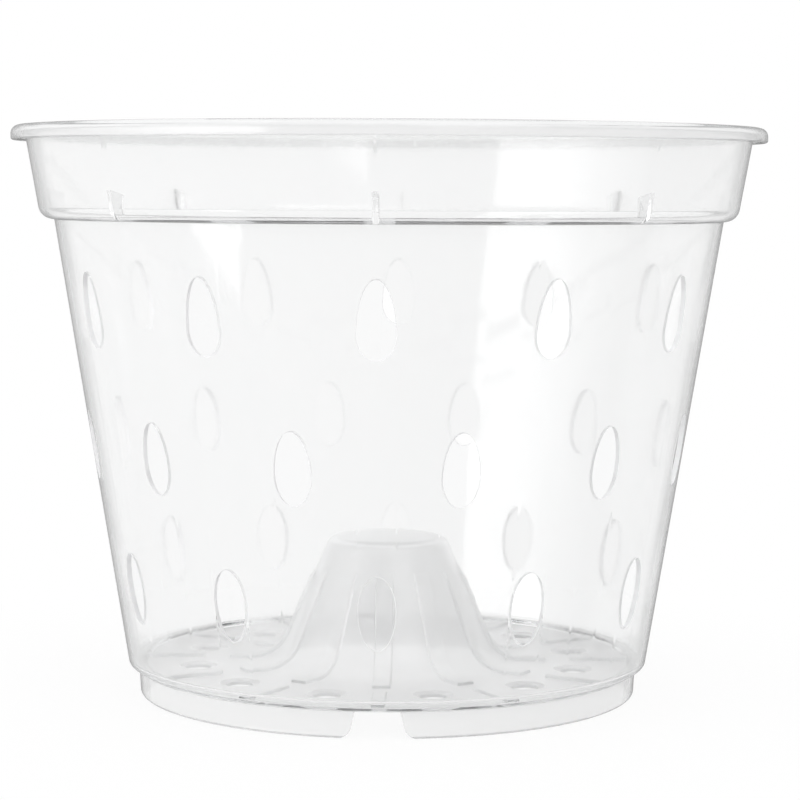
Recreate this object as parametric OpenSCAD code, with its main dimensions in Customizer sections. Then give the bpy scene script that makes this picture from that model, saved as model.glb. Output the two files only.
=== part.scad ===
// Clear vented orchid pot, moulded in one piece.
// A drafted cup hangs from a stepped collar with a turned-down lip. Three staggered rows of
// egg-shaped air holes pierce the wall, a hollow ribbed cone stands up from the floor, and
// drain holes lie round it. The pot stands on a notched foot ring.
// Millimetres, +Z up, origin at the centre of the foot ring's base, front toward -Y.

/* [Overall] */
// Diameter over the lip
rim_d = 180; // [168:1:220]
// Height from the table to the top of the lip
pot_h = 136; // [131:1:160]
// Thickness of the wall, the floor and the cone
wall = 1.2; // [0.9:0.1:1.6]
// Slope of the body wall away from vertical, in degrees
wall_draft = 9.25; // [7:0.25:11]

/* [Lip and collar] */
// Height of the turned-down lip
lip_h = 3.5; // [3:0.1:6]
// How far the lip stands out past the collar
lip_reach = 3.6; // [3:0.1:6]
// Thickness of the lip's flange and skirt
lip_t = 1.3; // [1.1:0.1:1.6]
// Radius on the lip's upper edge
lip_round = 2; // [0.8:0.1:2.4]
// Radius under the lip's skirt
skirt_round = 0.6; // [0.2:0.1:0.7]
// Radius on the inner edge of the mouth
mouth_round = 0.8; // [0.3:0.1:1.2]
// Height of the collar below the lip
collar_h = 18.5; // [15:0.5:23]
// Slope of the collar away from vertical, in degrees
collar_draft = 10; // [9:0.5:12]
// Width of the step from the collar in to the body
shoulder_w = 3.2; // [3.2:0.1:5]
// Radius on the collar's lower edge
shoulder_round = 3.4; // [1.6:0.1:3.4]

/* [Stacking fins] */
// Number of fins on the inside of the shoulder
fins = 8; // [4:1:12]
// Height of a fin at the collar, above the shoulder
fin_h = 6; // [4:0.5:9]
// Thickness of a fin
fin_t = 1.4; // [1:0.1:2]
// Fall of a fin's top edge toward the middle, in degrees
fin_slope = 16; // [0:1:30]

/* [Air holes] */
// Number of holes in each row
columns = 12; // [6:1:14]
// Height of each row's widest line, from the top row down
row_z = [90.7, 59.8, 29.8];
// Half width of a hole in each row
row_half_w = [4.3, 4.2, 4.1];
// Rise of a hole above its widest line
row_rise = [11.6, 9.4, 7.5];
// Drop of a hole below its widest line
row_drop = [5.7, 7, 9];
// Widening of a hole toward the inside, per millimetre of depth
hole_flare = 0.1; // [0:0.02:0.3]

/* [Floor and cone] */
// Height of the cone's flat top above the table
cone_h = 37.5; // [28:0.5:50]
// Radius of the cone's flat top, to the sharp corner
cone_top_r = 14; // [9:0.5:18]
// Slope of the cone away from vertical, in degrees
cone_draft = 22.8; // [15:0.2:26]
// Radius on the cone's top edge
cone_top_round = 3; // [2:0.5:5]
// Radius where the cone meets the floor
cone_foot_round = 10; // [5:0.5:12]
// Number of ribs, and of drain holes
ribs = 12; // [6:1:14]
// Width of a rib on the cone
rib_w = 4.2; // [2.5:0.1:5]
// Height of a rib above the cone or the floor
rib_h = 0.7; // [0.4:0.1:1]
// Distance from the cone's top down to where the ribs start
rib_drop = 6.5; // [5:0.5:12]
// Height over which a rib rises out of the cone's skin
rib_fade = 4; // [2:0.5:6]
// Radius at which the cone's ribs end on the floor
rib_end_r = 38.5; // [36:0.1:41]
// Radius at which the floor ribs start
floor_rib_r = 44.5; // [42:0.1:50]
// Width of a floor rib
floor_rib_w = 3.2; // [2:0.1:5]
// Radius of the ring that the drain holes lie on
drain_ring_r = 46.4; // [42:0.2:50]
// Diameter of a drain hole
drain_d = 6.2; // [4:0.1:8]
// Diameter of the dished edge round a drain hole
dish_d = 9.4; // [8.2:0.1:11]
// Depth of the dished edge
dish_depth = 0.5; // [0.2:0.1:0.7]

/* [Foot] */
// Height of the foot ring below the floor
foot_h = 6.2; // [4:0.1:10]
// Thickness of the foot ring
foot_t = 1.6; // [1.3:0.1:2]
// Slope of the foot ring away from vertical, in degrees
foot_draft = 3; // [0:0.5:6]
// Radius on the foot ring's outer bottom edge
foot_round = 1; // [0.4:0.1:1.1]
// Step from the body's bottom edge in to the foot ring
foot_step = 2.4; // [1.8:0.1:4]
// Height from the floor's underside up to the body's bottom edge
heel_h = 1.1; // [0.8:0.1:2]
// Radius on the body's bottom edge
heel_round = 1; // [0.4:0.1:1.4]
// How far the step up from the floor to the heel leans outward
heel_lean = 0.4; // [0.2:0.1:0.8]
// Number of notches in the foot ring
notches = 3; // [2:1:6]
// Width of a notch at its top
notch_w = 10.2; // [6:0.2:16]
// Lean of a notch's sides, in degrees
notch_lean = 12; // [0:1:20]
// Radius of the corners where a notch meets the table
notch_round = 3.4; // [1:0.2:3.6]

/* [Hidden] */
$fn = 96;
// Turn of one step along a rounded corner, in degrees
arc_step = 12;
// How far a cutter runs past the face that it cuts
over = 1;
// Radius on the fine edges
edge_round = 0.3;
// Radius of the corners inside the body
inner_round = 1;

// Body and collar slopes, as radius gained per millimetre of height
k_wall = tan(wall_draft);
k_collar = tan(collar_draft);
k_cone = tan(cone_draft);
k_foot = tan(foot_draft);
// The same wall measured level, through each slope
wall_level = wall / cos(wall_draft);
collar_level = wall / cos(collar_draft);
cone_level = wall / cos(cone_draft);

rim_r = rim_d / 2;
lip_z = pot_h - lip_h;
shoulder_z = lip_z - collar_h;
floor_z = foot_h + wall;
heel_z = foot_h + heel_h;
// Top of the ring of thicker corner that backs the body's bottom edge
heel_top_z = heel_z + wall;

// Outer radius of the collar, the body, the cone and the foot at a height
function collar_r(z) = rim_r - lip_reach + (z - lip_z) * k_collar;
function body_r(z) = collar_r(shoulder_z) - shoulder_w + (z - shoulder_z) * k_wall;
function cone_r(z) = cone_top_r + (cone_h - z) * k_cone;
foot_r = body_r(heel_z) - foot_step;
function foot_outer_r(z) = foot_r + (z - foot_h) * k_foot;
// Where the floor turns up into the thicker corner
heel_in_r = foot_r - foot_t;
rib_top_z = cone_h - rib_drop;

function unit(v) = v / norm(v);
function flat(p) = [p[0], p[1]];
// The arc that rounds corner b, as a list of points; a corner is [r, z, radius]
function corner(a, b, c) =
    let (
        u = unit(flat(a) - flat(b)),
        v = unit(flat(c) - flat(b)),
        half = acos(u * v) / 2,
        centre = flat(b) + unit(u + v) * b[2] / sin(half),
        start = flat(b) + u * b[2] / tan(half) - centre,
        turn = 180 - 2 * half,
        way = sign(u[1] * v[0] - u[0] * v[1]),
        steps = ceil(turn / arc_step)
    )
    [
        for (i = [0:steps])
            let (t = way * turn * i / steps)
            centre + [start[0] * cos(t) - start[1] * sin(t), start[0] * sin(t) + start[1] * cos(t)]
    ];
// A closed outline with each corner rounded to its own radius
function rounded(path) =
    [
        for (i = [0:len(path) - 1])
            let (
                a = path[(i + len(path) - 1) % len(path)],
                b = path[i],
                c = path[(i + 1) % len(path)]
            )
            each (b[2] > 0 ? corner(a, b, c) : [flat(b)])
    ];

// Half section of the whole pot, from the foot up the outside, over the lip and down the inside
function pot_section() =
    rounded([
        [foot_outer_r(0), 0, foot_round],
        [foot_r, foot_h, 0],
        [foot_r, heel_z, edge_round],
        [body_r(heel_z), heel_z, heel_round],
        [body_r(shoulder_z), shoulder_z, edge_round],
        [collar_r(shoulder_z), shoulder_z, shoulder_round],
        [collar_r(pot_h - lip_t), pot_h - lip_t, edge_round],
        [rim_r - lip_t, pot_h - lip_t, max(lip_round - lip_t, edge_round)],
        [rim_r - lip_t, lip_z, edge_round],
        [rim_r, lip_z, skirt_round],
        [rim_r, pot_h, lip_round],
        [collar_r(pot_h) - collar_level, pot_h, mouth_round],
        [collar_r(shoulder_z + wall) - collar_level, shoulder_z + wall, shoulder_round - wall],
        [body_r(shoulder_z + wall) - wall_level, shoulder_z + wall, inner_round],
        [body_r(heel_top_z) - wall_level, heel_top_z, inner_round],
        [heel_in_r + heel_lean, heel_top_z, edge_round],
        [heel_in_r, floor_z, edge_round],
        [cone_r(floor_z), floor_z, cone_foot_round],
        [cone_r(cone_h), cone_h, cone_top_round],
        [0, cone_h, 0],
        [0, cone_h - wall, 0],
        [cone_r(cone_h - wall) - cone_level, cone_h - wall, cone_top_round - wall],
        [cone_r(foot_h) - cone_level, foot_h, cone_foot_round + wall],
        [heel_in_r, foot_h, edge_round],
        [foot_outer_r(0) - foot_t, 0, edge_round]
    ]);

module side_hole(z, half_w, rise, drop) {
    // A boss on the moulding core meets the outer mould and shuts the hole off. It points straight
    // out and narrows a little toward its face, and the thin wall springs off it as the core lifts.
    outward = rise * k_wall + over;
    depth = drop * k_wall + wall_level + over;
    // The boss is a tapered egg, so its heights allow for where the leaning wall meets it
    top_h = rise / (1 - hole_flare * rise * k_wall / half_w);
    low_h = drop / (1 + hole_flare * drop * k_wall / half_w);
    translate([0, -body_r(z), z])
        for (half = [[top_h, 0], [low_h, -rim_r]])
            intersection() {
                scale([1, 1, half[0] / half_w])
                    translate([0, depth, 0])
                        rotate([90, 0, 0])
                            cylinder(
                                r1 = half_w + hole_flare * depth,
                                r2 = half_w - hole_flare * outward,
                                h = depth + outward
                            );
                translate([-rim_r, -rim_r, half[1]])
                    cube([rim_d, rim_d, rim_r]);
            }
}

module air_holes() {
    for (row = [0:len(row_z) - 1])
        for (i = [0:columns - 1])
            rotate([0, 0, (i + (row % 2) / 2) * 360 / columns])
                side_hole(row_z[row], row_half_w[row], row_rise[row], row_drop[row]);
}

module drain_holes() {
    for (i = [0:ribs - 1])
        rotate([0, 0, (i + 0.5) * 360 / ribs])
            translate([0, -drain_ring_r, 0]) {
                translate([0, 0, foot_h - over])
                    cylinder(d = drain_d, h = wall + 2 * over);
                translate([0, 0, floor_z - dish_depth])
                    cylinder(d1 = drain_d, d2 = dish_d, h = dish_depth);
            }
}

module foot_notches() {
    spread = foot_h * tan(notch_lean);
    half = notch_w / 2;
    outline = concat(
        [[-half, foot_h]],
        corner(
            [-half, foot_h],
            [-half - spread, 0, notch_round],
            [-half - spread - rim_r, 0]
        ),
        [[-half - spread - 2 * notch_round, -over], [half + spread + 2 * notch_round, -over]],
        corner(
            [half + spread + rim_r, 0],
            [half + spread, 0, notch_round],
            [half, foot_h]
        ),
        [[half, foot_h]]
    );
    for (i = [0:notches - 1])
        rotate([0, 0, i * 360 / notches])
            translate([0, -heel_in_r + foot_t, 0])
                rotate([90, 0, 0])
                    linear_extrude(height = 2 * foot_t + foot_step + over)
                        polygon(outline);
}

module stacking_fins() {
    // Middle of the shoulder's thickness, which the fins grow out of
    mid_z = shoulder_z + wall / 2;
    fin_z = shoulder_z + wall + fin_h;
    inner_r = body_r(shoulder_z + wall) - wall_level / 2;
    outer_r = collar_r(fin_z) - collar_level / 2;
    mid_round = shoulder_round - wall / 2;
    outline = rounded([
        [inner_r, mid_z, 0],
        [collar_r(mid_z) - collar_level / 2, mid_z, mid_round],
        [outer_r, fin_z, 0],
        [inner_r, fin_z - (outer_r - inner_r) * tan(fin_slope), 0]
    ]);
    for (i = [0:fins - 1])
        rotate([0, 0, i * 360 / fins - 90])
            rotate([90, 0, 0])
                translate([0, 0, -fin_t / 2])
                    linear_extrude(height = fin_t)
                        polygon(outline);
}

module cone_ribs() {
    // Each rib rises out of the cone's skin, follows the curve at its foot and ends on the floor
    half_level = cone_level / 2;
    rib_level = rib_h / cos(cone_draft);
    outline = rounded([
        [cone_r(rib_top_z) - half_level, rib_top_z, 0],
        [cone_r(rib_top_z - rib_fade) + rib_level, rib_top_z - rib_fade, 0],
        [cone_r(floor_z + rib_h) + rib_level, floor_z + rib_h, cone_foot_round - rib_h],
        [rib_end_r, floor_z + rib_h, 0],
        [rib_end_r, floor_z - wall / 2, 0],
        [cone_r(floor_z - wall / 2) - half_level, floor_z - wall / 2, cone_foot_round + wall / 2]
    ]);
    for (i = [0:ribs - 1])
        rotate([0, 0, i * 360 / ribs - 90])
            rotate([90, 0, 0])
                translate([0, 0, -rib_w / 2])
                    linear_extrude(height = rib_w)
                        polygon(outline);
}

module floor_ribs() {
    // Their outer ends are buried in the heel, above the foot ring
    end_r = heel_in_r + foot_t / 2;
    for (i = [0:ribs - 1])
        rotate([0, 0, i * 360 / ribs - 90])
            translate([floor_rib_r, -floor_rib_w / 2, floor_z - wall / 2])
                cube([end_r - floor_rib_r, floor_rib_w, wall / 2 + rib_h]);
}

module pot() {
    color([0.93, 0.95, 0.96, 0.4])
        difference() {
            union() {
                rotate_extrude()
                    polygon(pot_section());
                stacking_fins();
                cone_ribs();
                floor_ribs();
            }
            air_holes();
            drain_holes();
            foot_notches();
        }
}

pot();
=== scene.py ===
import math
import bmesh
import bpy
import numpy as np
from mathutils import Matrix, Vector


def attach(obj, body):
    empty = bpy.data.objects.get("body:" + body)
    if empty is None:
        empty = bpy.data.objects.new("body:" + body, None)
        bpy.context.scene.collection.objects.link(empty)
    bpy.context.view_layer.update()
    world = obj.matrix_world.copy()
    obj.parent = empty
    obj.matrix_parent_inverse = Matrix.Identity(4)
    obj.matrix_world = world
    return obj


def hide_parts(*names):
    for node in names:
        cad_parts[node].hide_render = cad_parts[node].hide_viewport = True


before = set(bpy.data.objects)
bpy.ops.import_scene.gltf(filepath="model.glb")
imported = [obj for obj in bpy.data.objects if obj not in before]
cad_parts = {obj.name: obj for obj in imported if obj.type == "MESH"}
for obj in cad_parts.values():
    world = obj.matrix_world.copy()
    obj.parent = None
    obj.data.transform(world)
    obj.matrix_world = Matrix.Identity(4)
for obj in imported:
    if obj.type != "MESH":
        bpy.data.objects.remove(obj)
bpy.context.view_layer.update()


# The shell of the pot: foot ring, drafted body, stepped collar and turned-down lip, with the
# hollow cone in its floor. One shot of clear polypropylene, so the whole wall is one skin, and
# every corner has the small radius that the mould was cut with.
MM = 0.001
rim_r, pot_h, wall = 90.0, 136.0, 1.2
lip_h, lip_reach, lip_t, lip_round = 3.5, 3.6, 1.3, 2.0
collar_h, shoulder_w, shoulder_round = 18.5, 3.2, 3.4
cone_h, cone_top_r, cone_top_round, cone_foot_round = 37.5, 14.0, 3.0, 10.0
foot_h, foot_t, foot_step, heel_h, heel_lean = 6.2, 1.6, 2.4, 1.1, 0.4
skirt_round, mouth_round, edge_round, inner_round = 0.6, 0.8, 0.3, 1.0
wall_draft, collar_draft, cone_draft, foot_draft = (math.radians(d) for d in (9.25, 10, 22.8, 3))
drafts = (wall_draft, collar_draft, cone_draft, foot_draft)
k_wall, k_collar, k_cone, k_foot = (math.tan(draft) for draft in drafts)
wall_level, collar_level, cone_level = (wall / math.cos(draft) for draft in drafts[:3])
lip_z = pot_h - lip_h
shoulder_z = lip_z - collar_h
floor_z, heel_z = foot_h + wall, foot_h + heel_h
heel_top_z = heel_z + wall


def collar_r(z):
    return rim_r - lip_reach + (z - lip_z) * k_collar


def body_r(z):
    return collar_r(shoulder_z) - shoulder_w + (z - shoulder_z) * k_wall


def cone_r(z):
    return cone_top_r + (cone_h - z) * k_cone


foot_r = body_r(heel_z) - foot_step
heel_in_r = foot_r - foot_t


def foot_outer_r(z):
    return foot_r + (z - foot_h) * k_foot


def rounded(corners, closed=True, step=9.0):
    """The points of an outline whose corners, given as (x, y, radius), are arcs."""
    points = []
    last = len(corners) - 1
    for i, (x, y, radius) in enumerate(corners):
        b = np.array((x, y))
        if radius <= 0 or (not closed and i in (0, last)):
            points.append(b)
            continue
        u = np.array(corners[i - 1][:2]) - b
        v = np.array(corners[(i + 1) % len(corners)][:2]) - b
        u, v = u / np.linalg.norm(u), v / np.linalg.norm(v)
        half = math.acos(np.clip(u @ v, -1, 1)) / 2
        centre = b + (u + v) / np.linalg.norm(u + v) * radius / math.sin(half)
        start = b + u * radius / math.tan(half) - centre
        turn = math.pi - 2 * half
        way = np.sign(u[1] * v[0] - u[0] * v[1])
        steps = max(2, math.ceil(math.degrees(turn) / step))
        for k in range(steps + 1):
            c, s = math.cos(way * turn * k / steps), math.sin(way * turn * k / steps)
            points.append(centre + np.array((start[0] * c - start[1] * s, start[0] * s + start[1] * c)))
    return points


def made_mesh(name, points, edges=(), faces=(), finish=None):
    """A new object from points in millimetres."""
    mesh = bpy.data.meshes.new(name)
    mesh.from_pydata([tuple(float(c) * MM for c in p) for p in points], edges, faces)
    if finish:
        mesh.materials.append(finish)
    mesh.validate()
    piece = bpy.data.objects.new(name, mesh)
    bpy.context.scene.collection.objects.link(piece)
    return piece


section = rounded([
    (0, cone_h - wall, 0),
    (cone_r(cone_h - wall) - cone_level, cone_h - wall, cone_top_round - wall),
    (cone_r(foot_h) - cone_level, foot_h, cone_foot_round + wall),
    (heel_in_r, foot_h, edge_round),
    (foot_outer_r(0) - foot_t, 0, edge_round),
    (foot_outer_r(0), 0, 1),
    (foot_r, foot_h, 0),
    (foot_r, heel_z, edge_round),
    (body_r(heel_z), heel_z, 1),
    (body_r(shoulder_z), shoulder_z, edge_round),
    (collar_r(shoulder_z), shoulder_z, shoulder_round),
    (collar_r(pot_h - lip_t), pot_h - lip_t, edge_round),
    (rim_r - lip_t, pot_h - lip_t, lip_round - lip_t),
    (rim_r - lip_t, lip_z, edge_round),
    (rim_r, lip_z, skirt_round),
    (rim_r, pot_h, lip_round),
    (collar_r(pot_h) - collar_level, pot_h, mouth_round),
    (collar_r(shoulder_z + wall) - collar_level, shoulder_z + wall, shoulder_round - wall),
    (body_r(shoulder_z + wall) - wall_level, shoulder_z + wall, inner_round),
    (body_r(heel_top_z) - wall_level, heel_top_z, inner_round),
    (heel_in_r + heel_lean, heel_top_z, edge_round),
    (heel_in_r, floor_z, edge_round),
    (cone_r(floor_z), floor_z, cone_foot_round),
    (cone_r(cone_h), cone_h, cone_top_round),
    (0, cone_h, 0),
], closed=False)
skin_mark = bpy.data.materials.new("skin_mark")
section_edges = [(i, i + 1) for i in range(len(section) - 1)]
pot = made_mesh("pot_profile", [(r, z, 0) for r, z in section], section_edges, (), skin_mark)


# The stacking fins: eight thin upright tabs inside the shoulder that keep nested pots from
# jamming. They are part of the same shot, with their edges barely broken.
fins, fin_h, fin_t, fin_slope = 8, 6.0, 1.4, math.radians(16)
added_mark = bpy.data.materials.new("added_mark")


def slab(name, outline, width, finish, soft=0.0):
    """A flat slab from an outline of (distance out, height), standing toward the front, width wide."""
    n = len(outline)
    half = width / 2
    points = [(-half, -r, z) for r, z in outline] + [(half, -r, z) for r, z in outline]
    faces = [tuple(range(n)), tuple(range(2 * n - 1, n - 1, -1))]
    faces += [(i, i + n, (i + 1) % n + n, (i + 1) % n) for i in range(n)]
    piece = made_mesh(name, points, (), faces, finish)
    bm = bmesh.new()
    bm.from_mesh(piece.data)
    bmesh.ops.recalc_face_normals(bm, faces=bm.faces)
    if soft:
        sides = [e for e in bm.edges if abs(e.verts[0].co.x - e.verts[1].co.x) < 1e-7]
        bmesh.ops.bevel(bm, geom=sides, offset=soft * MM, segments=3, affect="EDGES", profile=0.5)
    bm.to_mesh(piece.data)
    bm.free()
    return piece


fin_mid_z = shoulder_z + wall / 2
fin_z = shoulder_z + wall + fin_h
fin_in_r = body_r(shoulder_z + wall) - wall_level / 2
fin_out_r = collar_r(fin_z) - collar_level / 2
fin = slab("fin", rounded([
    (fin_in_r, fin_mid_z, 0),
    (collar_r(fin_mid_z) - collar_level / 2, fin_mid_z, shoulder_round - wall / 2),
    (fin_out_r, fin_z, 0),
    (fin_in_r, fin_z - (fin_out_r - fin_in_r) * math.tan(fin_slope), 0.4),
]), fin_t, added_mark, 0.2)


# The ribs: twelve low straps that rise out of the cone's skin, run down round its foot and end on
# the floor, and twelve more that go on from beyond the drain holes' inner edge to the heel.
ribs, rib_w, rib_h, rib_drop, rib_fade, rib_end_r = 12, 4.2, 0.7, 6.5, 4.0, 38.5
floor_rib_r, floor_rib_w = 44.5, 3.2
rib_top_z = cone_h - rib_drop
rib_level = rib_h / math.cos(cone_draft)


def strap(name, top, bed, width, finish, soft=0.35, steps=4):
    """A strap with rounded top edges: top and bed are matching lists of (distance out, height)."""
    half = width / 2
    across = [(-half, 0.0)]
    for k in range(steps + 1):
        a = math.pi / 2 * k / steps
        across.append((-half + soft * (1 - math.cos(a)), 1 - (1 - math.sin(a)) * soft / rib_h))
    across += [(-x, h) for x, h in reversed(across)]
    m = len(across)
    points = []
    for (tr, tz), (br, bz) in zip(top, bed):
        points += [(x, -(br + (tr - br) * h), bz + (tz - bz) * h) for x, h in across]
    n = len(top)
    faces = [tuple(range(m)), tuple(range(n * m - 1, (n - 1) * m - 1, -1))]
    for i in range(n - 1):
        this, after = i * m, (i + 1) * m
        faces += [(this + j, after + j, after + (j + 1) % m, this + (j + 1) % m) for j in range(m)]
    piece = made_mesh(name, points, (), faces, finish)
    bm = bmesh.new()
    bm.from_mesh(piece.data)
    bmesh.ops.remove_doubles(bm, verts=bm.verts, dist=1e-7)
    bmesh.ops.recalc_face_normals(bm, faces=bm.faces)
    bm.to_mesh(piece.data)
    bm.free()
    return piece


def along(corners, step=6.0):
    return rounded(corners, closed=False, step=step)


rib_path_top = along([
    (cone_r(rib_top_z) - 0.1, rib_top_z, 0),
    (cone_r(rib_top_z - rib_fade) + rib_level, rib_top_z - rib_fade, 6),
    (cone_r(floor_z + rib_h) + rib_level, floor_z + rib_h, cone_foot_round - rib_h),
    (rib_end_r, floor_z + rib_h, 0),
])
rib_path_bed = []
for i, (r, z) in enumerate(rib_path_top):
    a = np.array(rib_path_top[max(i - 1, 0)])
    b = np.array(rib_path_top[min(i + 1, len(rib_path_top) - 1)])
    t = (b - a) / np.linalg.norm(b - a)
    rib_path_bed.append((r - (-t[1]) * (rib_h + 0.5), z - t[0] * (rib_h + 0.5)))
cone_rib = strap("cone_rib", rib_path_top, rib_path_bed, rib_w, added_mark)
floor_rib_end = heel_in_r + foot_t / 2
floor_rib = strap(
    "floor_rib",
    [(floor_rib_r, floor_z + rib_h), (floor_rib_end, floor_z + rib_h)],
    [(floor_rib_r, floor_z - wall / 2), (floor_rib_end, floor_z - wall / 2)],
    floor_rib_w, added_mark,
)


# The air holes: three staggered rows of twelve eggs. A boss on the mould's core meets the outer
# half and shuts each hole off. It points straight out and narrows a little toward its face, and
# the thin wall springs off it as the core lifts, so the edges stay crisp.
columns = 12
hole_rows = [(90.7, 4.3, 11.6, 5.7), (59.8, 4.2, 9.4, 7.0), (29.8, 4.1, 7.5, 9.0)]
hole_flare, over = 0.1, 1.0
cut_mark = bpy.data.materials.new("cut_mark")


def tube(name, loops, finish):
    """A closed solid through matching loops of points."""
    m = len(loops[0])
    points = [p for loop in loops for p in loop]
    n = len(loops)
    faces = [tuple(range(m)), tuple(range(n * m - 1, (n - 1) * m - 1, -1))]
    for i in range(n - 1):
        this, after = i * m, (i + 1) * m
        faces += [(this + j, after + j, after + (j + 1) % m, this + (j + 1) % m) for j in range(m)]
    piece = made_mesh(name, points, (), faces, finish)
    bm = bmesh.new()
    bm.from_mesh(piece.data)
    bmesh.ops.recalc_face_normals(bm, faces=bm.faces)
    bm.to_mesh(piece.data)
    bm.free()
    return piece


def egg(half_w, top_h, low_h, count=64):
    """Points round an egg, closer together where it turns more; half turns with unequal heights."""
    points = []
    for k in range(count):
        facing = 2 * math.pi * k / count
        h = top_h if k < count / 2 else low_h
        a = math.atan2(h * math.sin(facing), half_w * math.cos(facing))
        points.append((half_w * math.cos(a), h * math.sin(a)))
    return points


def hole_boss(row, z, half_w, rise, drop):
    """The tapered boss that leaves an egg of this rise and drop in the leaning wall."""
    outward, depth = rise * k_wall + over, drop * k_wall + wall_level + over
    top_h = rise / (1 - hole_flare * rise * k_wall / half_w)
    low_h = drop / (1 + hole_flare * drop * k_wall / half_w)
    loops = []
    for y in (-outward, depth):
        share = 1 + hole_flare * y / half_w
        loops.append([(x * share, y - body_r(z), z + h * share) for x, h in egg(half_w, top_h, low_h)])
    return tube(f"hole_boss_{row}", loops, cut_mark)


bosses = [hole_boss(i + 1, *row) for i, row in enumerate(hole_rows)]


# The drain holes: one between each pair of floor ribs, with a shallow dish pressed round it so
# that water runs in. A pin in the mould leaves each hole.
drain_ring_r, drain_d, dish_d, dish_depth = 46.4, 6.2, 9.4, 0.5


def pin_mesh(name, profile, centre_y, count, finish):
    """A closed solid of revolution round an upright line at the front, from (radius, height) pairs."""
    turn = 2 * math.pi / count
    loops = [[(r * math.cos(turn * k), centre_y + r * math.sin(turn * k), z) for k in range(count)]
             for r, z in profile]
    return tube(name, loops, finish)


dish_slope = (dish_d - drain_d) / 2 / dish_depth
drain_pin = pin_mesh("drain_pin", [
    (drain_d / 2, foot_h - over), (drain_d / 2, floor_z - dish_depth),
    (dish_d / 2 + 0.3 * dish_slope, floor_z + 0.3),
], -drain_ring_r, 48, cut_mark)


# The foot notches: three gaps in the foot ring that let water and air out from under the floor,
# with leaning sides and rounded lower corners.
notches, notch_w, notch_lean, notch_round = 3, 10.2, math.radians(12), 3.4
spread = foot_h * math.tan(notch_lean)
half_notch = notch_w / 2
wing = half_notch + spread
right_side = along([(wing + 30, 0, 0), (wing, 0, notch_round), (half_notch, foot_h, 0)])[1:]
notch_outline = [(wing + 2 * notch_round, -over)] + right_side
notch_outline = [(-x, z) for x, z in reversed(notch_outline)]
notch_outline += [(-x, z) for x, z in reversed(notch_outline)]
notch_plug = tube("notch_plug", [
    [(x, -(heel_in_r - foot_t), z) for x, z in notch_outline],
    [(x, -(foot_r + foot_step + over), z) for x, z in notch_outline],
], cut_mark)


# The plastic: clear polypropylene, glossy from a polished mould and faintly milky. Its milky coat
# is painted shade as well: it turns greyer and covers more at a slant, darkening the pot toward its
# outline. The flow of the melt leaves a slow waviness on the skin, and the edges that shut off
# against a boss or a pin are frosted.
index_of_plastic = 1.49
flow_scale, flow_stretch, flow_depth = 60, 0.25, 0.0002
polish_scale, polish_least, polish_most = 900, 0.03, 0.08
melt_tone_low, melt_tone_high = (0.990, 0.992, 0.993, 1), (0.998, 0.999, 0.999, 1)
# At each slant, how grey the milky coat looks and how much of it covers the clear plastic; the grey that
# deepens toward the outline is painted shade
slant_milk_and_shade = [
    (0.72, 0.74, 0.0), (0.80, 0.46, 0.20), (0.85, 0.34, 0.50), (0.91, 0.26, 0.74), (1.0, 0.20, 0.95),
]
pale_milk, lit_milk = (0.985, 0.985, 0.99, 1), (0.95, 0.955, 0.96, 1)
satin_cover, frost_cover = 0.52, 0.85
depth_tint, depth_density = (0.895, 0.902, 0.905, 1), 50.0
plastic = bpy.data.materials.new("clear_plastic")
plastic.use_nodes = True
nodes, links = plastic.node_tree.nodes, plastic.node_tree.links


def made_node(kind, settings=(), **values):
    """A node of the material in hand, its inputs fed by name from values or from outputs."""
    node = nodes.new(kind)
    for key, value in dict(settings).items():
        setattr(node, key, value)
    for key, value in values.items():
        socket = node.inputs[key.replace("_", " ")]
        if isinstance(value, bpy.types.NodeSocket):
            links.new(value, socket)
        else:
            socket.default_value = value
    return node


def math_of(operation, a, b):
    """The result of a Math node on two values, each a number or an output."""
    node = made_node("ShaderNodeMath", {"operation": operation})
    for socket, value in zip(node.inputs, (a, b)):
        if isinstance(value, bpy.types.NodeSocket):
            links.new(value, socket)
        else:
            socket.default_value = value
    return node.outputs[0]


def mix_of(share, a, b):
    """Two shaders mixed, b by the share."""
    node = nodes.new("ShaderNodeMixShader")
    for socket, value in zip(node.inputs, (share, a, b)):
        links.new(value, socket)
    return node.outputs[0]


def ramp_of(value, stops):
    """A Color Ramp with these stops, each a position and a colour."""
    node = made_node("ShaderNodeValToRGB", Fac=value)
    ramp = node.color_ramp.elements
    ramp.remove(ramp[1])
    ramp[0].position, ramp[0].color = stops[0]
    for position, colour in stops[1:]:
        ramp.new(position).color = colour
    return node


spot = nodes.new("ShaderNodeTexCoord").outputs["Object"]
flow_way = made_node("ShaderNodeMapping", Vector=spot, Scale=(1, 1, flow_stretch))
flow = made_node("ShaderNodeTexNoise", Vector=flow_way.outputs[0], Scale=flow_scale, Detail=2).outputs["Fac"]
polish = made_node("ShaderNodeTexNoise", Vector=spot, Scale=polish_scale, Detail=3)
gloss = made_node("ShaderNodeMapRange", Value=polish.outputs["Fac"], From_Min=0.3, From_Max=0.7,
                  To_Min=polish_least, To_Max=polish_most)
tone = made_node("ShaderNodeMix", {"data_type": "RGBA"}, Factor=flow, A=melt_tone_low, B=melt_tone_high)
ripple = made_node("ShaderNodeBump", Strength=0.4, Distance=flow_depth, Height=flow)
clear = nodes["Principled BSDF"]
clear.inputs["IOR"].default_value = index_of_plastic
clear.inputs["Transmission Weight"].default_value = 1.0
links.new(tone.outputs["Result"], clear.inputs["Base Color"])
links.new(gloss.outputs["Result"], clear.inputs["Roughness"])
links.new(ripple.outputs["Normal"], clear.inputs["Normal"])

# Painted shade: by slant, the milky coat greys and thickens toward the pot's outline
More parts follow.
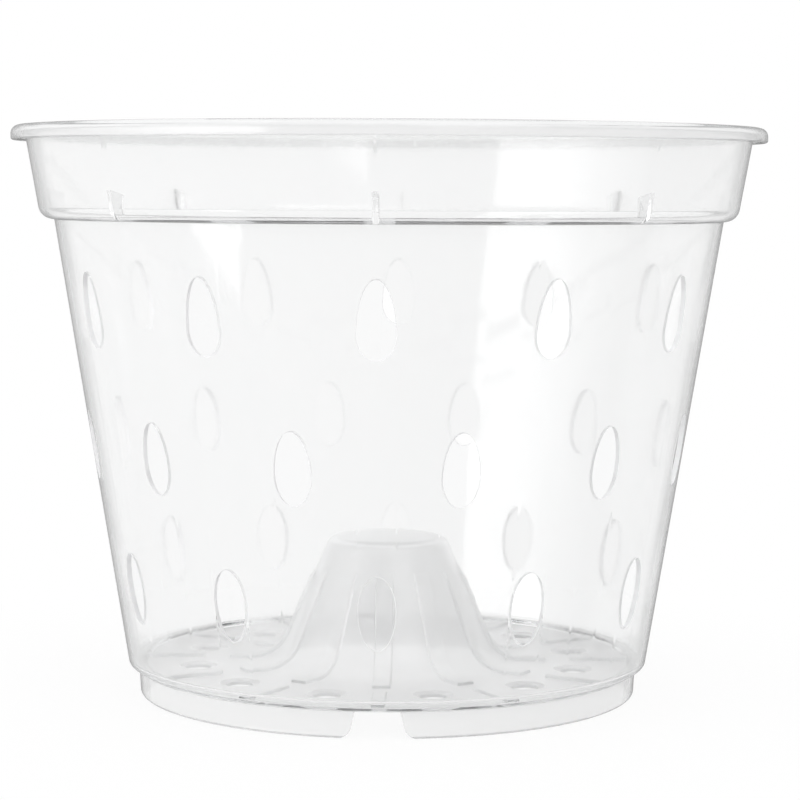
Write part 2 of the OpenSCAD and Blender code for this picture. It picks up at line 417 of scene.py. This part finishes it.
slant = made_node("ShaderNodeLayerWeight", Blend=0.5)
milk_and_shade_stops = [(facing, (grey, grey, grey, hidden)) for facing, grey, hidden in slant_milk_and_shade]
milk_and_shade_ramp = ramp_of(slant.outputs["Facing"], milk_and_shade_stops)
marks = [made_node("ShaderNodeAttribute", {"attribute_name": name}) for name in ("cut", "satin", "veil")]
cut, satin, veil = (mark.outputs["Fac"] for mark in marks)
from_inside = nodes.new("ShaderNodeNewGeometry").outputs["Backfacing"]
milk_and_shade_tone = made_node("ShaderNodeMix", {"data_type": "RGBA"}, Factor=math_of("MAXIMUM", cut, satin),
                      A=milk_and_shade_ramp.outputs["Color"], B=pale_milk)
milk_and_shade_coat = made_node("ShaderNodeBsdfPrincipled", Base_Color=milk_and_shade_tone.outputs["Result"], Roughness=0.5,
                 IOR=index_of_plastic, Specular_IOR_Level=0.2)
lit_edge = made_node("ShaderNodeBsdfTranslucent", Color=lit_milk)
wall_cover = math_of("MAXIMUM", milk_and_shade_ramp.outputs["Alpha"], veil)
wall_cover = math_of("MULTIPLY", wall_cover, math_of("SUBTRACT", 1, satin))
outer_cover = math_of("ADD", wall_cover, math_of("MULTIPLY", satin, satin_cover))
outer_cover = math_of("MULTIPLY", outer_cover, math_of("SUBTRACT", 1, from_inside))
cover = math_of("MAXIMUM", outer_cover, math_of("MULTIPLY", cut, frost_cover))
milky_and_shaded = mix_of(from_inside, milk_and_shade_coat.outputs[0], lit_edge.outputs[0])
links.new(mix_of(cover, clear.outputs[0], milky_and_shaded), nodes["Material Output"].inputs["Surface"])
tint = made_node("ShaderNodeVolumeAbsorption", Color=depth_tint, Density=depth_density)
links.new(tint.outputs[0], nodes["Material Output"].inputs["Volume"])


# The mould: one tree turns the section round, stands the fins and ribs on the skin, takes the
# bosses, pins and plugs out of it, and gives the whole shot its material.
turns = 288
mould = bpy.data.node_groups.new("pot_mould", "GeometryNodeTree")
mould_sockets = {}


def mould_socket(name, kind, value=None):
    socket = mould.interface.new_socket(name, in_out="INPUT", socket_type=kind)
    mould_sockets[name] = (socket.identifier, value)


mould_socket("Section", "NodeSocketGeometry")
mould_socket("Turns", "NodeSocketInt", turns)
for count_name, count in (("Fins", fins), ("Ribs", ribs), ("Columns", columns), ("Notches", notches)):
    mould_socket(count_name, "NodeSocketInt", count)
templates = {"Fin": fin, "Cone rib": cone_rib, "Floor rib": floor_rib, "Drain pin": drain_pin,
             "Notch plug": notch_plug}
templates.update({f"Hole boss {i + 1}": boss for i, boss in enumerate(bosses)})
for name, piece in templates.items():
    mould_socket(name, "NodeSocketObject", piece)
mould_socket("Finish", "NodeSocketMaterial", plastic)
mould.interface.new_socket("Shot", in_out="OUTPUT", socket_type="NodeSocketGeometry")
given = mould.nodes.new("NodeGroupInput")
result = mould.nodes.new("NodeGroupOutput")


def put(kind, settings=(), **values):
    """Adds a node to the mould and feeds its inputs from values or from other nodes' outputs."""
    node = mould.nodes.new(kind)
    for key, value in dict(settings).items():
        setattr(node, key, value)
    for key, value in values.items():
        socket = next(s for s in node.inputs if s.identifier.replace(" ", "_") == key)
        for one in value if isinstance(value, list) else [value]:
            if isinstance(one, bpy.types.NodeSocket):
                mould.links.new(one, socket)
            else:
                socket.default_value = one
    return node


ring_core = 0.05
profile = put("GeometryNodeTransform", Geometry=given.outputs["Section"],
              Translation=(-ring_core, 0, 0), Scale=(1, -1, 1))
profile = put("GeometryNodeMeshToCurve", Mesh=profile.outputs[0])
circle = put("GeometryNodeCurvePrimitiveCircle", {"mode": "RADIUS"},
             Resolution=given.outputs["Turns"], Radius=ring_core)
turned = put("GeometryNodeCurveToMesh", Curve=circle.outputs[0], Profile_Curve=profile.outputs[0])
turned = put("GeometryNodeMergeByDistance", Geometry=turned.outputs[0], Distance=1e-7)
turned = put("GeometryNodeFlipFaces", Mesh=turned.outputs[0])
turned = put("GeometryNodeSetMaterial", Geometry=turned.outputs[0], Material=skin_mark)


def ring_of(name, count_name, turn=0.0):
    """Copies of a template at equal steps round the axis, the first turned by a share of a step."""
    count = given.outputs[count_name]
    line = put("GeometryNodeMeshLine", {"mode": "OFFSET"}, Count=count, Offset=(0, 0, 0))
    index = put("GeometryNodeInputIndex")
    step = put("ShaderNodeMath", {"operation": "DIVIDE"}, Value=2 * math.pi, Value_001=count)
    place = put("ShaderNodeMath", {"operation": "ADD"}, Value=index.outputs[0], Value_001=turn)
    turned_by = put("ShaderNodeMath", {"operation": "MULTIPLY"},
                    Value=place.outputs[0], Value_001=step.outputs[0])
    euler = put("ShaderNodeCombineXYZ", Z=turned_by.outputs[0])
    template = put("GeometryNodeObjectInfo", Object=given.outputs[name])
    copies = put("GeometryNodeInstanceOnPoints", Points=line.outputs[0],
                 Instance=template.outputs["Geometry"], Rotation=euler.outputs[0])
    return copies.outputs[0]


solid = {"solver": "MANIFOLD"}
raised = put("GeometryNodeMeshBoolean", {**solid, "operation": "UNION"}, Mesh_2=[
    turned.outputs[0], ring_of("Fin", "Fins"), ring_of("Cone rib", "Ribs"), ring_of("Floor rib", "Ribs")])
cutters = [ring_of("Drain pin", "Ribs", 0.5), ring_of("Notch plug", "Notches")]
cutters += [ring_of(f"Hole boss {i + 1}", "Columns", (i % 2) / 2) for i in range(len(bosses))]
pierced = put("GeometryNodeMeshBoolean", {**solid, "operation": "DIFFERENCE"},
              Mesh_1=raised.outputs[0], Mesh_2=cutters)
noted = pierced
for name, mark in (("skin", skin_mark), ("cut", cut_mark)):
    chosen = put("GeometryNodeMaterialSelection", Material=mark)
    noted = put("GeometryNodeStoreNamedAttribute", {"data_type": "BOOLEAN", "domain": "FACE"},
                Geometry=noted.outputs[0], Name=name, Value=chosen.outputs[0])
whole = put("GeometryNodeRealizeInstances", Geometry=noted.outputs[0])
finished = put("GeometryNodeSetMaterial", Geometry=whole.outputs[0], Material=given.outputs["Finish"])
mould.links.new(finished.outputs[0], result.inputs[0])

press = pot.modifiers.new("mould", "NODES")
press.node_group = mould
for identifier, value in mould_sockets.values():
    if value is not None:
        press[identifier] = value
bpy.context.view_layer.update()
cast = bpy.data.meshes.new_from_object(pot.evaluated_get(bpy.context.evaluated_depsgraph_get()))
pot.modifiers.remove(press)
profile_mesh, pot.data = pot.data, cast
bpy.data.meshes.remove(profile_mesh)
pot.name = cast.name = "pot_shot"
for piece in templates.values():
    bpy.data.meshes.remove(piece.data)
for mark in (skin_mark, added_mark, cut_mark):
    bpy.data.materials.remove(mark)

# Creases stay sharp where two forms meet or turn hard, and the skin is shaded as truly round.
crease_turn, skin_turn = math.radians(26), math.radians(3)


def values_of(items, key, size=1, kind=np.float32):
    """One value, or one vector, for each item of a mesh."""
    found = np.zeros(len(items) * size, kind)
    items.foreach_get(key, found)
    return found.reshape(-1, size).astype(float) if size > 1 else found


on_skin = values_of(cast.attributes["skin"].data, "value", kind=bool)
was_cut = values_of(cast.attributes["cut"].data, "value", kind=bool)
face_normal = values_of(cast.polygons, "normal", 3)
face_corners = values_of(cast.polygons, "loop_total", kind=np.int32)
corner_face = np.repeat(np.arange(len(cast.polygons)), face_corners)
order = np.argsort(values_of(cast.loops, "edge_index", kind=np.int32), kind="stable")
side_a, side_b = corner_face[order[0::2]], corner_face[order[1::2]]
bend = (face_normal[side_a] * face_normal[side_b]).sum(1)
crease = bend < math.cos(crease_turn)
for mark in (on_skin, was_cut):
    crease |= mark[side_a] != mark[side_b]
cast.attributes.new("sharp_edge", "BOOLEAN", "EDGE").data.foreach_set("value", crease)
cast.shade_smooth()
cast.update()
corner = values_of(cast.corner_normals, "vector", 3)
place = values_of(cast.vertices, "co", 3)[values_of(cast.loops, "vertex_index", kind=np.int32)]
out = place[:, :2] / np.maximum(np.linalg.norm(place[:, :2], axis=1, keepdims=True), 1e-9)
level = np.linalg.norm(corner[:, :2], axis=1)
toward = (corner[:, :2] * out).sum(1)
round_skin = on_skin[corner_face] & (np.abs(toward) > level * math.cos(skin_turn))
corner[round_skin, :2] = out[round_skin] * (np.sign(toward) * level)[round_skin, None]
cast.normals_split_custom_set(corner.tolist())

# The cavity is less finely polished than the core, so the outside of the wall is milkier than the
# inside. The thick lip and foot look milkier still, and the floor and cone come out satin.
wall_veil, thick_veil = 0.24, 0.34
mid = values_of(cast.polygons, "center", 3)
mid_r = np.linalg.norm(mid[:, :2], axis=1)
inward = (face_normal[:, :2] * mid[:, :2]).sum(1) < -0.1 * mid_r
thick = (mid[:, 2] > lip_z * MM) | (mid[:, 2] < foot_h * MM)
cast.attributes.new("satin", "BOOLEAN", "FACE").data.foreach_set("value", mid_r < heel_in_r * MM)
veils = np.where(thick, thick_veil, np.where(inward, 0.0, wall_veil))
cast.attributes.new("veil", "FLOAT", "FACE").data.foreach_set("value", veils)

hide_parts("pot")
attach(pot, "root")


# The stage: a plain white table that keeps the pot's shadow, open white round it, and soft lamps.
# Seen through the pot, the background is a shade greyer than in the open.
rim_count, table_r, table_drop = 96, 3.0, 0.00005
through_level = 0.966
step = 2 * math.pi / rim_count
table_rim = [(table_r * math.cos(step * k), table_r * math.sin(step * k), -table_drop)
             for k in range(rim_count)]
table_mesh = bpy.data.meshes.new("table")
table_mesh.from_pydata(table_rim, [], [tuple(range(rim_count))])
table = bpy.data.objects.new("table", table_mesh)
bpy.context.scene.collection.objects.link(table)
table_paint = bpy.data.materials.new("table_paint")
table_mesh.materials.append(table_paint)
table_paint.use_nodes = True
nodes, links = table_paint.node_tree.nodes, table_paint.node_tree.links
nodes.clear()


def background_rays():
    """1 for the camera's own rays and for reflected and refracted ones, and the white that each sees."""
    ray = nodes.new("ShaderNodeLightPath").outputs
    own = ray["Is Camera Ray"]
    mirrored = math_of("MAXIMUM", own, ray["Is Glossy Ray"])
    white = made_node("ShaderNodeMapRange", Value=own, To_Min=through_level, To_Max=1.0)
    return math_of("MAXIMUM", mirrored, ray["Is Transmission Ray"]), white.outputs["Result"]


# Close to the pot the table's own paint shows through more, so its shadow stays there
looked_at, white = background_rays()
painted = made_node("ShaderNodeBsdfDiffuse", Color=(0.9, 0.9, 0.9, 1))
glow = made_node("ShaderNodeEmission", Color=(1, 1, 1, 1), Strength=white)
far = made_node("ShaderNodeVectorMath", {"operation": "LENGTH"})
links.new(nodes.new("ShaderNodeTexCoord").outputs["Object"], far.inputs[0])
reach = made_node("ShaderNodeMapRange", Value=far.outputs["Value"], From_Min=0.07, From_Max=0.16,
                  To_Min=0.92, To_Max=1.0)
paint = mix_of(math_of("MULTIPLY", looked_at, reach.outputs[0]), painted.outputs[0], glow.outputs[0])
links.new(paint, nodes.new("ShaderNodeOutputMaterial").inputs[0])

world = bpy.data.worlds.new("studio")
bpy.context.scene.world = world
world.use_nodes = True
nodes, links = world.node_tree.nodes, world.node_tree.links
nodes.clear()
looked_at, white = background_rays()
fill = made_node("ShaderNodeBackground", Color=(1, 1, 1, 1), Strength=0.86)
backdrop = made_node("ShaderNodeBackground", Color=(1, 1, 1, 1), Strength=white)
sky = mix_of(looked_at, fill.outputs[0], backdrop.outputs[0])
links.new(sky, nodes.new("ShaderNodeOutputWorld").inputs[0])


def softbox(name, azimuth, elevation, distance, width, height, radiance, aim=(0, 0, 0.07)):
    """A rectangular lamp that faces the pot; azimuth turns from the front toward the right."""
    lamp = bpy.data.lights.new(name, "AREA")
    lamp.shape = "RECTANGLE"
    lamp.size, lamp.size_y = width, height
    lamp.energy = radiance * math.pi * width * height
    a, e = math.radians(azimuth), math.radians(elevation)
    way = Vector((math.sin(a) * math.cos(e), -math.cos(a) * math.cos(e), math.sin(e)))
    piece = bpy.data.objects.new(name, lamp)
    facing = way.to_track_quat("Z", "Y").to_matrix().to_4x4()
    piece.matrix_world = Matrix.Translation(Vector(aim) + distance * way) @ facing
    bpy.context.scene.collection.objects.link(piece)
    return piece


# The tall box at the left is brightest along its near edge and fades out toward the back.
side_box = softbox("side_box", -63, 14, 1.2, 1.8, 0.8, 2.2)
edge_lean = 0.2
box_levels = [(0.0, 0.0), (0.22, 0.15), (0.45, 0.45), (0.62, 1.0), (0.94, 1.0), (0.96, 0.0)]
side_box.data.use_nodes = True
nodes, links = side_box.data.node_tree.nodes, side_box.data.node_tree.links
across = nodes.new("ShaderNodeNewGeometry").outputs["Parametric"]
edges = made_node("ShaderNodeSeparateXYZ", Vector=across).outputs
leaning = math_of("ADD", math_of("MULTIPLY", edges["Y"], edge_lean), edges["X"])
fade = ramp_of(leaning, [(x, (level, level, level, 1)) for x, level in box_levels])
links.new(fade.outputs["Color"], nodes["Emission"].inputs["Strength"])
softbox("back_window", 74, 21, 1.2, 0.44, 0.05, 2.4)
softbox("top_box", 20, 60, 1.3, 0.9, 0.6, 1.0)
softbox("front_box", 30, 40, 1.3, 0.8, 0.5, 1.5)

# The camera stands where the photograph was taken from. Its lengths are in pixels of an 800-pixel
# picture, and light is followed through enough turns that the cut edges don't go black.
picture, focal, aside, sensor = 800, 2564.32, 11.65, 36
view_turn, view_reach, view_h = math.radians(2.01), 0.61879, 0.12235
pitch, yaw, roll = 0.0837, aside / focal, 0.0049
light_turns = 24
camera = bpy.data.objects.new("camera", bpy.data.cameras.new("camera"))
bpy.context.scene.collection.objects.link(camera)
camera.data.sensor_width = sensor
camera.data.lens = focal * sensor / picture
camera.data.clip_start = 0.01
heading = view_turn - yaw
flat = Vector((-math.sin(heading), math.cos(heading), 0))
ahead = flat * math.cos(pitch) + Vector((0, 0, -math.sin(pitch)))
right = Vector((math.cos(heading), math.sin(heading), 0))
up = right.cross(ahead)
level_right, level_up = right, up
right = level_right * math.cos(roll) + level_up * math.sin(roll)
up = level_up * math.cos(roll) - level_right * math.sin(roll)
frame_of_view = Matrix((right, up, -ahead)).transposed().to_4x4()
stand = Vector((math.sin(view_turn) * view_reach, -math.cos(view_turn) * view_reach, view_h))
camera.matrix_world = Matrix.Translation(stand) @ frame_of_view
bpy.context.scene.camera = camera
bpy.context.scene.view_settings.view_transform = "Standard"
for kind in ("max_bounces", "glossy_bounces", "transmission_bounces"):
    setattr(bpy.context.scene.cycles, kind, light_turns)

bpy.context.view_layer.update()
